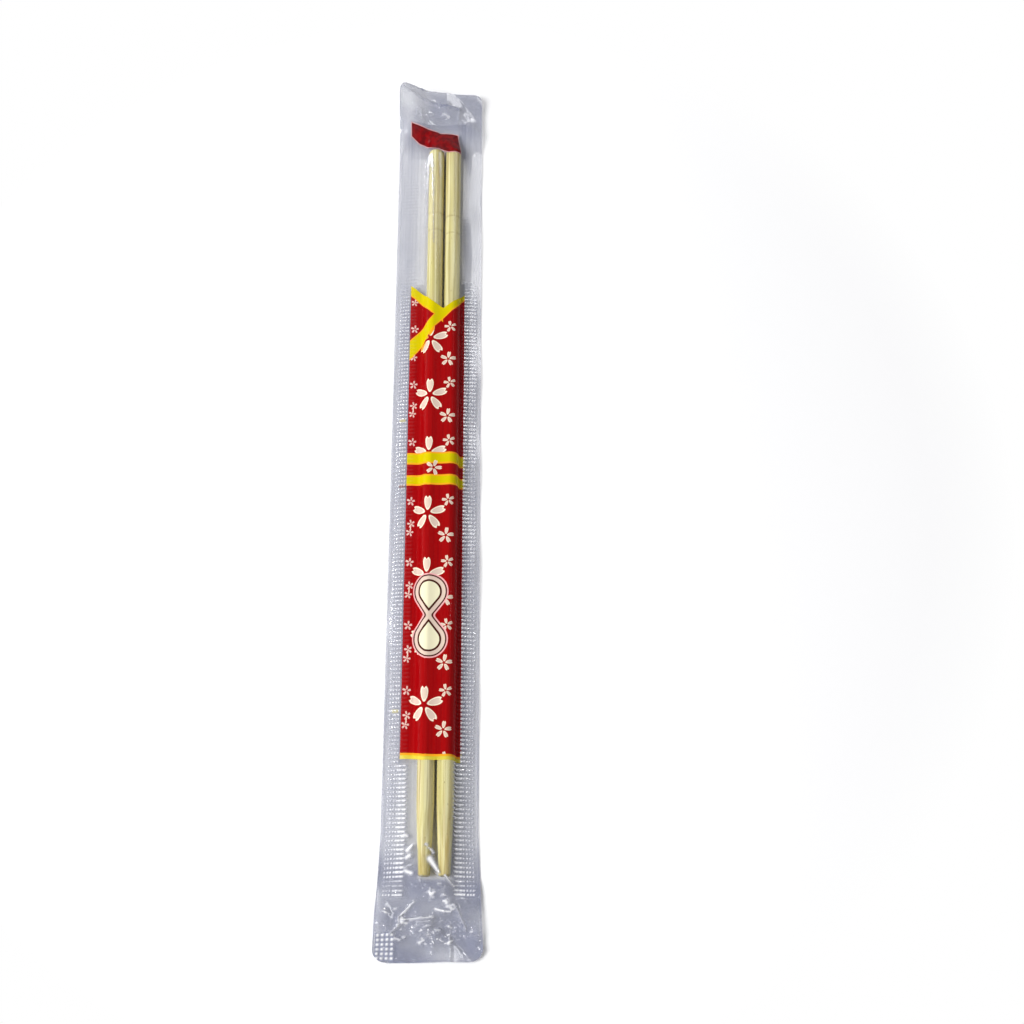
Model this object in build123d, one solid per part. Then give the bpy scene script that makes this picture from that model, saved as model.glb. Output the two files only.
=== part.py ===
from build123d import *
import os
from math import asin, atan2, cos, degrees, hypot, sin, sqrt

# A pair of round disposable chopsticks, sealed side by side in a sleeve of thin film.
# +Y runs from the eating tips to the thick ends and +Z is up. The origin is the middle of
# the sleeve's footprint, on the surface that it lies on. All sizes are in millimetres.

# Chopsticks, turned round from cane
STICK_LENGTH = 230.0
STICK_DIAMETER = 4.8
TIP_DIAMETER = 3.2
TAPER_LENGTH = 19.0
TAPER_BLEND_RADIUS = 60.0
TIP_ROUND = 0.5
BUTT_ROUND = 0.35
STICK_GAP = 0.6

# A cane node leaves a pair of shallow rings, at a place of its own on each stick
NODE_RINGS = 2
NODE_SPACING = 6.2
NODE_GROOVE_WIDTH = 0.9
NODE_GROOVE_DEPTH = 0.12
LEFT_NODE_FROM_BUTT = 23.8
RIGHT_NODE_FROM_BUTT = 25.0

# Film sleeve, two webs of thin film sealed along both sides and across both ends
FILM_THICKNESS = 0.12
FILM_CLEARANCE = 0.1
SEAL_WIDTH = 6.0
SEAL_RISE = 1.4
LEFT_SLACK = 3.6
LEFT_LEVEL = 2.4
RIGHT_SLACK = 0.5
LOWER_TAIL = 22.0
UPPER_TAIL = 22.6
LOWER_CLOSE = 11.0
UPPER_CLOSE = 9.0
CORNER_RADIUS = 2.6
SEALED_SLIT = 0.03

# The free film past the thick ends curls up from the surface, most at its left corner
UPPER_LIFT_LEFT = 8.0
UPPER_LIFT_RIGHT = 1.0
CURL_STEPS = 3

# Places worked out from the sizes above
SLEEVE_LENGTH = LOWER_TAIL + STICK_LENGTH + UPPER_TAIL
PANEL_WIDTH = LEFT_SLACK + 2 * STICK_DIAMETER + STICK_GAP + RIGHT_SLACK
SLEEVE_WIDTH = PANEL_WIDTH + 2 * SEAL_WIDTH
LOWER_END_Y = -SLEEVE_LENGTH / 2
UPPER_END_Y = SLEEVE_LENGTH / 2
TIP_Y = LOWER_END_Y + LOWER_TAIL
TAPER_END_Y = TIP_Y + TAPER_LENGTH
BUTT_Y = UPPER_END_Y - UPPER_TAIL
LEFT_FOOT_X = -PANEL_WIDTH / 2
RIGHT_FOOT_X = PANEL_WIDTH / 2
LEFT_AXIS_X = LEFT_FOOT_X + LEFT_SLACK + STICK_DIAMETER / 2
RIGHT_AXIS_X = RIGHT_FOOT_X - RIGHT_SLACK - STICK_DIAMETER / 2
AXIS_Z = FILM_THICKNESS + FILM_CLEARANCE + STICK_DIAMETER / 2
SEALED_THICKNESS = 2 * FILM_THICKNESS


def chopstick(axis_x, node_from_butt):
    """One stick: a straight round shank with a node's rings, and a short taper to a blunt tip."""
    radius = STICK_DIAMETER / 2
    outline = FilletPolyline(
        (0, TIP_Y),
        (TIP_DIAMETER / 2, TIP_Y),
        (radius, TAPER_END_Y),
        (radius, BUTT_Y),
        (0, BUTT_Y),
        radius=(TIP_ROUND, TAPER_BLEND_RADIUS, BUTT_ROUND),
    )
    half = make_face([*outline.edges(), Line((0, BUTT_Y), (0, TIP_Y))])
    groove_radius = (NODE_GROOVE_WIDTH**2 / 4 + NODE_GROOVE_DEPTH**2) / (2 * NODE_GROOVE_DEPTH)
    for ring in range(NODE_RINGS):
        ring_y = BUTT_Y - node_from_butt - ring * NODE_SPACING
        half -= Pos(radius + groove_radius - NODE_GROOVE_DEPTH, ring_y) * Circle(groove_radius)
    return Pos(axis_x, 0, AXIS_Z) * revolve(half, Axis.Y)


def lift(x, y):
    """How far the curl holds the film above the surface."""
    along = max(0, y - BUTT_Y) / UPPER_TAIL
    from_right = 1 / 2 - x / SLEEVE_WIDTH
    return along**2 * (UPPER_LIFT_RIGHT + from_right**2 * (UPPER_LIFT_LEFT - UPPER_LIFT_RIGHT))


def round_stick(foot, axis_x, reach, side, way):
    """A web's straight run from its foot to a stick, and its bend up to the crown or down to the underside."""
    across = (axis_x - foot[0]) * side
    up = (AXIS_Z - foot[1]) * way
    slope = atan2(up, across) + asin(reach / hypot(across, up))
    run = sqrt(across**2 + up**2 - reach**2)
    meet = (foot[0] + side * run * cos(slope), foot[1] + way * run * sin(slope))
    start = degrees(atan2(meet[1] - AXIS_Z, meet[0] - axis_x))
    quarter_turn = 90
    return Line(foot, meet), CenterArc((axis_x, AXIS_Z), reach, start, way * quarter_turn - start)


def drawn(left_feet, reach, way):
    """A web drawn over both sticks, or under them, at this reach from their axes, by way of its left feet."""
    foot_z = left_feet[-1][1]
    left_run, left_bend = round_stick(left_feet[-1], LEFT_AXIS_X, reach, 1, way)
    right_run, right_bend = round_stick((RIGHT_FOOT_X, foot_z), RIGHT_AXIS_X, reach, -1, way)
    bridge_z = AXIS_Z + way * reach
    bridge = Line((LEFT_AXIS_X, bridge_z), (RIGHT_AXIS_X, bridge_z))
    level = [Line(a, b) for a, b in zip(left_feet, left_feet[1:])]
    return [*level, left_run, left_bend, bridge, right_bend, right_run]


def drawn_upper(foot_z, reach, level):
    """The upper web: slack on its left, so it lies level from the seal and then climbs steeply."""
    return drawn([(LEFT_FOOT_X, foot_z), (LEFT_FOOT_X + level, foot_z)], reach, 1)


def drawn_lower(foot_z, reach):
    """The lower web: it runs straight from both seals to the sticks."""
    return drawn([(LEFT_FOOT_X, foot_z)], reach, -1)


def flat(y, foot_z, web_z, levels):
    """The same edges where a web lies flat: its feet and its middle at these heights, and the ends of its levels."""
    across = [
        (LEFT_FOOT_X, foot_z),
        *((LEFT_FOOT_X + level, web_z) for level in levels),
        ((LEFT_FOOT_X + sum(levels) + LEFT_AXIS_X) / 2, web_z),
        (LEFT_AXIS_X, web_z),
        (RIGHT_AXIS_X, web_z),
        ((RIGHT_FOOT_X + RIGHT_AXIS_X) / 2, web_z),
        (RIGHT_FOOT_X, foot_z),
    ]
    points = [(x, z + lift(x, y)) for x, z in across]
    return [Line(a, b) for a, b in zip(points, points[1:])]


def seal(y, foot_x, edge_x, rise):
    """The three edges of a side seal: its top, its outer edge and its underside."""
    points = [
        (foot_x, rise + SEALED_THICKNESS + lift(foot_x, y)),
        (edge_x, SEALED_THICKNESS + lift(edge_x, y)),
        (edge_x, lift(edge_x, y)),
        (foot_x, rise + lift(foot_x, y)),
    ]
    return [Line(a, b) for a, b in zip(points, points[1:])]


def at(y, edges):
    """A closed section across the sleeve at this place along it."""
    return Plane.XZ.offset(-y) * make_face(edges)


def outer_section(y, webs, rise):
    """The sleeve's outside: its two webs and its two side seals."""
    left_seal = seal(y, LEFT_FOOT_X, -SLEEVE_WIDTH / 2, rise)
    right_seal = seal(y, RIGHT_FOOT_X, SLEEVE_WIDTH / 2, rise)
    return at(y, [*webs, *left_seal, *right_seal])


def flat_outside(y):
    """The outside where the two webs lie flat on each other."""
    upper = flat(y, SEALED_THICKNESS, SEALED_THICKNESS, [LEFT_LEVEL])
    return outer_section(y, upper + flat(y, 0, 0, []), 0)


def drawn_outside(y, stick_radius):
    """The outside where the webs are drawn over sticks of this radius."""
    reach = FILM_CLEARANCE + FILM_THICKNESS
    upper = drawn_upper(SEAL_RISE + SEALED_THICKNESS, stick_radius + reach, LEFT_LEVEL)
    lower = drawn_lower(SEAL_RISE, STICK_DIAMETER / 2 + reach)
    return outer_section(y, upper + lower, SEAL_RISE)


def flat_inside(y):
    """The space between the webs where they close, down to a slit."""
    upper = flat(y, FILM_THICKNESS, FILM_THICKNESS + SEALED_SLIT, [LEFT_LEVEL + FILM_THICKNESS])
    return at(y, upper + flat(y, FILM_THICKNESS, FILM_THICKNESS, []))


def drawn_inside(y, stick_radius):
    """The space between the webs round sticks of this radius."""
    foot_z = SEAL_RISE + FILM_THICKNESS
    upper = drawn_upper(foot_z, stick_radius + FILM_CLEARANCE, LEFT_LEVEL + FILM_THICKNESS)
    lower = drawn_lower(foot_z, STICK_DIAMETER / 2 + FILM_CLEARANCE)
    return at(y, upper + lower)


def film_sleeve():
    """The film: it lies flat past both ends of the sticks and is drawn round them in between."""
    lower_close_y = TIP_Y - LOWER_CLOSE
    upper_close_y = BUTT_Y + UPPER_CLOSE
    shank_radius = STICK_DIAMETER / 2
    stations = [(TIP_Y, TIP_DIAMETER / 2), (TAPER_END_Y, shank_radius), (BUTT_Y, shank_radius)]
    curl_step = (UPPER_END_Y - upper_close_y) / CURL_STEPS
    outside = [
        flat_outside(LOWER_END_Y),
        flat_outside(lower_close_y),
        *(drawn_outside(y, radius) for y, radius in stations),
        *(flat_outside(upper_close_y + step * curl_step) for step in range(CURL_STEPS + 1)),
    ]
    inside = [
        flat_inside(lower_close_y),
        *(drawn_inside(y, radius) for y, radius in stations),
        flat_inside(upper_close_y),
    ]
    blank = extrude(RectangleRounded(SLEEVE_WIDTH, SLEEVE_LENGTH, CORNER_RADIUS), SLEEVE_WIDTH)
    return (loft(outside, ruled=True) & blank) - loft(inside, ruled=True)


nodes = {
    "chopstick_left": chopstick(LEFT_AXIS_X, LEFT_NODE_FROM_BUTT),
    "chopstick_right": chopstick(RIGHT_AXIS_X, RIGHT_NODE_FROM_BUTT),
    "film_sleeve": film_sleeve(),
}

os.makedirs("parts", exist_ok=True)
for name, shape in nodes.items():
    export_step(shape, f"parts/{name}.step")
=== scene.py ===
from collections import namedtuple
from math import cos, pi, radians, sin, sqrt, tau

import bpy
import numpy as np
from mathutils import Matrix, Vector


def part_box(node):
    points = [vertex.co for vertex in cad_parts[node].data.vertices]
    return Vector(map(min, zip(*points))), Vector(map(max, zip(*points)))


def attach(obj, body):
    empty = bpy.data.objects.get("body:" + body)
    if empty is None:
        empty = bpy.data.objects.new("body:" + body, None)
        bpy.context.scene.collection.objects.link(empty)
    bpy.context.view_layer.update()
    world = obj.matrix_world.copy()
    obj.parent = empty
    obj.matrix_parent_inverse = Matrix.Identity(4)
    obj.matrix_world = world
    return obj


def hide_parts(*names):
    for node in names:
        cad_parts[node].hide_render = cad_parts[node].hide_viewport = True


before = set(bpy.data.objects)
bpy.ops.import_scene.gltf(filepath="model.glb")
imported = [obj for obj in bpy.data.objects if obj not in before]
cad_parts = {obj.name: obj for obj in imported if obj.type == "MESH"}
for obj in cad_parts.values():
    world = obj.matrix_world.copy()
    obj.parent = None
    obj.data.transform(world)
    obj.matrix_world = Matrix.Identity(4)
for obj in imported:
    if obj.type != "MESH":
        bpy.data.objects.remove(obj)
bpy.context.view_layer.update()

# A pair of round cane chopsticks in a sealed sleeve of clear, printed film. Lengths are in metres,
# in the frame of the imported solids. Sizes of the print are in millimetres on the flat film.

# Places read from the solids
LEFT_LOW, LEFT_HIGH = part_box("chopstick_left")
RIGHT_LOW, RIGHT_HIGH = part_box("chopstick_right")
FILM_LOW, FILM_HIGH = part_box("film_sleeve")
STICK_RADIUS = (LEFT_HIGH[0] - LEFT_LOW[0]) / 2
LEFT_AXIS_X = (LEFT_LOW[0] + LEFT_HIGH[0]) / 2
RIGHT_AXIS_X = (RIGHT_LOW[0] + RIGHT_HIGH[0]) / 2
AXIS_Z = (LEFT_LOW[2] + LEFT_HIGH[2]) / 2
TIP_Y = LEFT_LOW[1]
BUTT_Y = LEFT_HIGH[1]
LOWER_END_Y = FILM_LOW[1]
UPPER_END_Y = FILM_HIGH[1]
EDGE_X = FILM_HIGH[0]
UPPER_TAIL = UPPER_END_Y - BUTT_Y

# Sticks
TIP_RADIUS = 0.0016
TAPER_LENGTH = 0.019
TAPER_BLEND = 0.00012
TIP_ROUND = 0.0005
BUTT_ROUND = 0.00035
NODE_FROM_BUTT = {"chopstick_left": 0.0238, "chopstick_right": 0.0250}
NODE_RINGS = 2
NODE_SPACING = 0.0062
NODE_GROOVE_WIDTH = 0.0009
NODE_GROOVE_DEPTH = 0.00012
FIBRE_DEPTH = 0.000012
FIBRE_WIDTH = 0.0006
FIBRE_STRETCH = 60
UNEVENNESS = 0.00002
UNEVEN_LENGTH = 0.02
STICK_SEEDS = {"chopstick_left": 31, "chopstick_right": 41}
STICK_SIDES = 96
STICK_STEP = 0.0004
ROUND_STEPS = 6
END_RING_SHARES = (0.0, 0.35, 0.7)

# Film sleeve: one web lies over the sticks and one under them
OVER = 1
UNDER = -1
FILM_REACH = 0.00015
SEALED_GAP = 0.0001
SEAL_WIDTH = 0.0060
SEAL_RISE = 0.0014
LOWER_CLOSE = 0.011
UPPER_CLOSE = 0.009
CLOSE_POWER = 1.25
LOWER_CORNER_RADIUS = 0.0036
UPPER_CORNER_RADIUS = 0.0022
BRIDGE_SAG = 0.00035
DRAPE_FLAT = 0.0024
DRAPE_BLEND = 0.0007
LIFT_LEFT = 0.0088
LIFT_RIGHT = 0.0010
LEFT_FOOT_X = SEAL_WIDTH - EDGE_X
RIGHT_FOOT_X = EDGE_X - SEAL_WIDTH
ROW_STEP = 0.0003
TAIL_ROW_STEP = 0.0002
SEAL_COLUMNS = 25
RUN_COLUMNS = 12
BEND_COLUMNS = 8
BRIDGE_COLUMNS = 13
SHORT_RUN_COLUMNS = 4
CROWN_COLUMN = SEAL_COLUMNS + RUN_COLUMNS + BEND_COLUMNS
LAST_COLUMN = CROWN_COLUMN + BRIDGE_COLUMNS + BEND_COLUMNS + SHORT_RUN_COLUMNS

# Waves of about this length, drawn from this seed
Waves = namedtuple("Waves", "length seed")
WAVE_COUNT = 9
WAVE_PACES = (0.6, 1.5)

# Knurled dots that weld the two webs: down both sides, faintly across the tips' end and in one corner
DOT_PITCH = 0.0012
DOT_RADIUS = 0.00042
DOT_HEIGHT = 0.00016
DotColumn = namedtuple("DotColumn", "from_edge half_width share")
DOT_COLUMNS = (
    DotColumn(0.0017, 0.0004, 0.7),
    DotColumn(0.0025, 0.0004, 0.85),
    DotColumn(0.0033, 0.0004, 0.95),
    DotColumn(0.0041, 0.0004, 1.0),
    DotColumn(0.0049, 0.0009, 1.0),
    DotColumn(0.0060, 0.0011, 1.0),
)
DOT_LEAST_SHARE = 0.7
DOT_SHIFT = 0.0001
DOT_SEED = 3
DOT_WAVES = Waves(0.026, 21)
DOT_UNEVEN_SHARE = 0.15
DOT_BAND = (0.0015, 0.0069)
DOTS_FROM_Y = -0.1212
DOTS_FROM_BUTT = 0.046
DOTS_TO_Y = BUTT_Y - DOTS_FROM_BUTT
DOTS_FADE = 0.012
DOTS_END_FADE = 0.0012
WORN_DOTS = (-0.1188, -0.1158)
WORN_DOTS_SHARE = 0.45
FAINT_DOTS_SHARE = 0.05
END_SEAL_Y = -0.1262
END_SEAL_ROWS = 4
END_DOT_HEIGHT = 0.00005
# The dots' whiteness is film whitened by the pressing, and it also stands in for their glints, a painted
# highlight
END_WELD_GLINT_SHARE = 0.12
CORNER_DOT_PITCH = 0.00116
CORNER_DOT_RADIUS = 0.00054
CORNER_DOT_HEIGHT = 0.0003
CORNER_DOT_COLUMNS = 4
CORNER_DOT_ROWS = 6
CORNER_WELD_GLINT_SHARE = 0.6

# Wrinkles of the film
SEAL_WAVES = Waves(0.026, 4)
SEAL_WAVE_HEIGHT = 0.00022
SEAL_WAVE_GROWTH = 2
RUN_WAVES = Waves(0.011, 51)
RUN_WAVE_HEIGHT = 0.00005
RUN_WAVE_STRETCH = 2.0
TAIL_WAVES = Waves(0.019, 7)
TAIL_WAVE_HEIGHT = 0.0005
TAIL_FOLDS = Waves(0.013, 11)
TAIL_FOLD_HEIGHT = 0.0008
TAIL_DIMPLES = Waves(0.0028, 13)
TAIL_DIMPLE_HEIGHT = 0.00009
TAIL_FLARE = 0.0015
FLARE_START = 0.012
CRUMPLES = Waves(0.013, 17)
UPPER_CRUMPLE_SHARE = 0.12
CRUMPLE_DEPTH = 0.0005
CRUMPLE_SIZE = 0.0032
FACETS = Waves(0.016, 23)

# Sharp creases, in millimetres on the sleeve; the last column paints a glint along a crease where it is above
# zero, a painted highlight that is partly whitened film, and makes the film hazier along it where it is below
# zero; those with a full glint have smooth edges, the others ragged
RAGGED_WAVES = Waves(0.0014, 27)
RAGGED_SHARE = 0.5
FULL_GLINT = 1.0
WHITE_SPREAD_SHARE = 0.85
Crease = namedtuple("Crease", "start end height width end_width tone")
CREASE_ROWS = (
    # Past the tips and beside them
    ((0.4, -111), (2.9, -114.6), 0.4, 1, 0.3, 1.2),
    ((4.4, -115.3), (6.8, -117.9), 0.3, 0.3, 0.2, 1),
    ((-0.8, -107.1), (1.5, -109.5), 0.2, 0.3, 0.3, 0.9),
    ((-6.8, -104.1), (-6, -104.3), 0.2, 0.6, 0.5, 1),
    ((-5.8, -108.2), (-4.5, -106.7), 0.3, 0.7, 0.3, 1.1),
    ((-6.1, -110.2), (-5.3, -109.6), 0.2, 0.6, 0.7, 1),
    ((-6.6, -112.8), (-4.5, -112), 0.3, 0.3, 0.2, 0.5),
    ((-6.2, -113.6), (-4.6, -114.3), 0.3, 0.6, 0.5, 1),
    ((-2.4, -115.6), (-2.1, -116.5), 0.3, 0.3, 0.2, 0.5),
    ((0.2, -119.6), (0.6, -119.9), 0.3, 0.4, 0.3, 0.7),
    ((0.9, -120.3), (1.5, -119.7), 0.3, 0.6, 0.4, 0.8),
    ((0.4, -118.4), (0.6, -119), 0.3, 0.3, 0.3, 0.6),
    ((2.6, -117.4), (3.3, -117.4), 0.3, 0.3, 0.3, 0.5),
    ((3.8, -120.2), (4.5, -120.4), 0.3, 0.4, 0.3, 0.5),
    ((4.6, -121.8), (4.9, -122), 0.3, 0.6, 0.6, 0.9),
    ((5.4, -123.1), (6.2, -123.4), 0.3, 0.7, 0.7, 0.8),
    ((2, -123.8), (4, -124.3), 0.3, 0.4, 0.3, 1.1),
    ((4, -124.3), (6, -124.4), 0.3, 0.3, 0.2, 1),
    ((-3.8, -121.8), (-7.7, -125.9), 0.8, 0.4, 0.3, 0.5),
    ((-4.7, -123.1), (-7.1, -125.5), 0.4, 0.3, 0.3, 0.6),
    ((-7.7, -125.9), (-7.9, -128.2), 0.7, 0.4, 0.3, 0.3),
    ((-6, -126.6), (-9.9, -130.1), 0.7, 0.4, 0.3, 0.4),
    ((-6.8, -126.5), (1.4, -125.9), 0.6, 0.4, 0.3, 0.7),
    ((-11.9, -124.3), (-11.5, -124.5), 0.2, 0.4, 0.3, 0.6),
    ((-10.9, -124.6), (-10.7, -124.6), 0.2, 0.4, 0.3, 0.6),
    ((-10.3, -125), (-10.1, -124.9), 0.2, 0.3, 0.3, 0.6),
    ((-8.8, -123.5), (-8.6, -123.4), 0.2, 0.5, 0.4, 0.6),
    ((-6.2, -127.2), (-5.7, -127.4), 0.2, 0.5, 0.4, 0.7),
    ((-7.2, -126.2), (-7, -127), 0.2, 0.4, 0.3, 0.6),
    ((-3, -127.2), (1.2, -127), 0.3, 0.2, 0.2, 0.4),
    ((-1, -128.4), (1, -128), 0.3, 0.3, 0.2, 0.5),
    ((2.2, -129.2), (3.4, -129), 0.3, 0.4, 0.3, 0.6),
    ((5.6, -127.9), (6, -128.3), 0.3, 0.5, 0.4, 0.6),
    ((-8.6, -131.2), (-7.2, -131.6), 0.3, 0.5, 0.3, 0.7),
    ((-6.2, -130.9), (-5.8, -130.8), 0.3, 0.4, 0.3, 0.6),
    ((-2.2, -132.3), (-1, -131.7), 0.3, 0.5, 0.4, 0.8),
    ((5.4, -132.4), (6.4, -131.7), 0.3, 0.5, 0.4, 0.9),
    ((0, -130.3), (0.3, -130.2), 0.3, 0.4, 0.4, 0.7),
    ((7, -122.5), (10, -129), 0.7, 0.5, 0.3, 0.3),
    ((5.8, -130), (6, -137.1), 0.5, 0.4, 0.4, 0.2),
    # Past the thick ends
    ((-6.6, 137.8), (-5.8, 136.9), 0.4, 0.3, 0.3, -0.3),
    ((0, 132.7), (6, 131.3), 0.8, 0.4, 0.4, -0.4),
    ((6, 131.3), (5.4, 125), 0.6, 0.4, 0.3, 0.1),
    ((-3.6, 129.7), (-2.8, 129.7), 0.4, 0.5, 0.4, 0.3),
    ((1, 129.7), (2.5, 128.6), 0.5, 0.6, 0.5, 0.5),
    ((-7.6, 130.8), (-7.4, 128), 0.4, 0.4, 0.3, 0.2),
    ((-6.4, 130.8), (-6.2, 128), 0.4, 0.4, 0.3, 0.2),
    ((-11.5, 136), (-1, 133), 0.7, 0.5, 0.4, -0.12),
    # Along the left stick's thick end: painted highlight lines on the film, over slight creases
    ((-3.3, 115.2), (-3.8, 110), 0.1, 0.8, 0.5, 1),
    ((-3.8, 110), (-4, 101), 0.1, 0.5, 0.3, 0.9),
    ((-4, 101), (-4.1, 88), 0.1, 0.3, 0.2, 0.5),
    ((-3.3, 115.2), (-2.4, 108.2), 0.1, 0.7, 0.5, 1),
    ((-2.4, 108.2), (-1.9, 97), 0.1, 0.4, 0.3, 0.55),
    ((-1.9, 97), (-1.6, 80), 0.1, 0.3, 0.3, 0.4),
    ((-0.4, 115), (0.2, 104.1), 0.1, 0.3, 0.2, 0.35),
)
CREASES = [Crease(*row) for row in CREASE_ROWS]

# Print, in millimetres on the flat film: across from the crown of the left stick, down from the thick ends
MILLIMETRES = 1000
PRINT_LEFT = -8.7
PRINT_RIDE = ((PRINT_LEFT, 1.3), (-4.2, 1.15), (-2.5, 0.45), (-0.8, 0.0))
FIELD_LEFT = -8.45
FIELD_MARGIN = 0.3
FIELD_RIGHT = 11.7
FIELD_HEM = 199.2
HEM_LINE = 1.7
HEM_RIM = 0.6
YELLOW_RIM = 0.5
PRINT_BLUR = 0.10
LAPEL_CROSSING = (0.1, 60.5)
LAPEL_BLEED = 1.3
LEFT_LAPEL_END = 2.9
LEFT_LAPEL_LOW = ((PRINT_LEFT, 53.2), LAPEL_CROSSING, (FIELD_RIGHT, 71.8))
RIGHT_LAPEL_TOP = (
    (PRINT_LEFT, 69.1),
    (-4.1, 65.2),
    LAPEL_CROSSING,
    (LEFT_LAPEL_END, 57.3),
    (8.0, 53.6),
    (FIELD_RIGHT, 50.9),
)
RIGHT_LAPEL_LOW = (
    (PRINT_LEFT, 76.1),
    (-3.9, 71.2),
    (0.2, 64.9),
    (5.0, 60.0),
    (8.4, 56.8),
    (FIELD_RIGHT, 53.9),
)
COLLAR_TOP = ((PRINT_LEFT, 49.5), (LEFT_LAPEL_END, 58.3), (8.0, 54.6), (FIELD_RIGHT, 51.9))
WAIST_BANDS = ((106.9, 110.6), (114.1, 117.4))
PATTERN_PITCH = 19.12
PATTERN_START = 69.0
PATTERN_ACROSS = -0.75
BIG_RADIUS = 5.5
Blossom = namedtuple("Blossom", "across down radius turn")
WAIST_BLOSSOM = Blossom(0.8, 111.9, 2.5, radians(-18))
COMPANIONS = (
    Blossom(5.4, 7.0, 2.5, radians(-8)),
    Blossom(6.0, -4.1, 1.95, radians(10)),
    Blossom(-6.1, -3.9, 1.45, radians(-6)),
    Blossom(-5.9, 3.2, 1.35, radians(14)),
    Blossom(-6.3, 5.9, 1.3, radians(-12)),
)
STEM_ENDS = COMPANIONS[-2:]
STEM_WIDTH = 0.28
PINK_RADIUS = 1.6
PETALS = 5
PETAL_INNER_SHARE = 0.17
PETAL_HALF_WIDTH_SHARE = 0.215
PETAL_NARROWING_SHARES = (1.5, 0.72)
PETAL_NOTCH_SHARE = 0.13
PETAL_NOTCH_SLOPE = 1.1
PETAL_RIM_SHARE = 0.05
CARTOUCHE_ACROSS = 0.15
CARTOUCHE_MIDDLE = 157.6
CARTOUCHE_MARGIN = 1.9
CARTOUCHE_BLEND = 1.2
CARTOUCHE_LINES = (0.42, 0.84)
DROP_RADIUS = 3.65
DROP_POINT = 6.0
DROP_LINE = 0.58
DROP_OFFSET = 7.1
STRIP_LEFT = -9.4
STRIP_RIGHT = 8.3
STRIP_TOP = ((STRIP_LEFT, -10.9), (-3.6, -9.6), (0.6, -8.6), (1.5, -8.0), (6.3, -8.1), (8.4, -7.6))
STRIP_LOW = ((STRIP_LEFT, -6.9), (-6.9, -4.6), (-4.6, -3.8), (-1.4, -0.9), (3.9, 1.0), (8.4, 1.0))
STRIP_FROM = -11.5
STRIP_TO = 1.5
STRIP_RIM = 0.3
STRIP_SHADE = 0.4
STRIP_SHADE_BLUR = 0.7
PRINTED_FROM = 48.0
BACK_FIELD_TOP = 64.0
BACK_FIELD_INSET = 1.6

# Marks on the left seal, in the print's millimetres
Mark = namedtuple("Mark", "left right top bottom")
TICK = Mark(-10.7, -8.5, 115.8, 116.7)
PALE_MARKS = (Mark(-11.0, -9.2, 94.3, 95.2), Mark(-11.0, -9.2, 183.8, 184.8))

# Lamps
Lamp = namedtuple("Lamp", "name place aim size watts mirrored")
LAMPS = (
    Lamp("key", (-0.85, -0.32, 0.97), (0, 0, 0), (0.6, 0.9), 20.8, False),
    Lamp("panel", (0.45, 0.8, 0.95), (0, -0.1, 0), (0.4, 0.3), 1.3, True),
    Lamp("streak", (-0.71, 0.81, 0.75), (0, 0.1, 0), (0.06, 0.09), 1.0, True),
    Lamp("left_strip", (-0.90, 0.79, 0.28), (0, 0.1, 0), (0.07, 0.12), 0.9, True),
)

# Small lamps round the view that spark on the film's creases
SPARK_LAMPS = 6
SPARK_TILT = radians(20)
SPARK_DISTANCE = 1.0
SPARK_SIZE = 0.022
SPARK_WATTS = 0.22

# White ground and backdrop
FLOOR_HALF = 4.0
FLOOR_DROP = 0.0002
FLOOR_ROUGHNESS = 0.9
FLOOR_COLOUR = (0.99, 0.99, 0.99, 1.0)
SHADOW_REACH = 0.145
WHITE_REACH = 0.17
WORLD_GREY = (0.12, 0.12, 0.13, 1.0)
WHITE = (1.0, 1.0, 1.0, 1.0)

# Camera, fitted to the photograph
VIEW_ELEVATION = radians(66.8)
VIEW_ROLL = radians(-0.2)
VIEW_DISTANCE = 0.474
VIEW_TARGET = Vector((0.02249, -0.00935, 0.0))
LENS = 57.1
CLIP_START = 0.01


def linear(red, green, blue):
    """A screen colour, 0 to 255, as light levels by the sRGB rule."""
    shares = np.array([red, green, blue]) / 255
    levels = np.where(shares <= 0.04045, shares / 12.92, ((shares + 0.055) / 1.055) ** 2.4)
    return (*levels.tolist(), 1.0)


# Inks
RED = linear(158, 6, 10)
STREAK_RED = linear(140, 4, 10)
DEEP_RED = linear(96, 4, 10)
YELLOW = linear(209, 193, 2)
HEM_ORANGE = linear(244, 166, 34)
HEM_YELLOW = linear(240, 222, 60)
CREAM = linear(250, 238, 214)
PETAL = linear(236, 212, 196)
BROWN = linear(70, 28, 22)
PALE = linear(236, 230, 196)
PINK = linear(240, 176, 176)
INK_COVER = 0.97
PETAL_COVER = 0.8
HEM_COVER = 0.65
MARK_COVER = 0.4

# Noise at a scale, drawn out along the sticks by a squeeze, with the span of its values that shows
Grain = namedtuple("Grain", "scale squeeze detail span")
RED_STREAKS = Grain(1.4, 0.02, 2.0, (0.45, 0.7))
RED_STREAK_SHARE = 0.8
STRIP_BLOTCHES = Grain(0.5, 1.0, 3.0, (0.62, 0.42))
STRIP_BLOTCH_SHARES = (0.1, 1.0)

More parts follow.
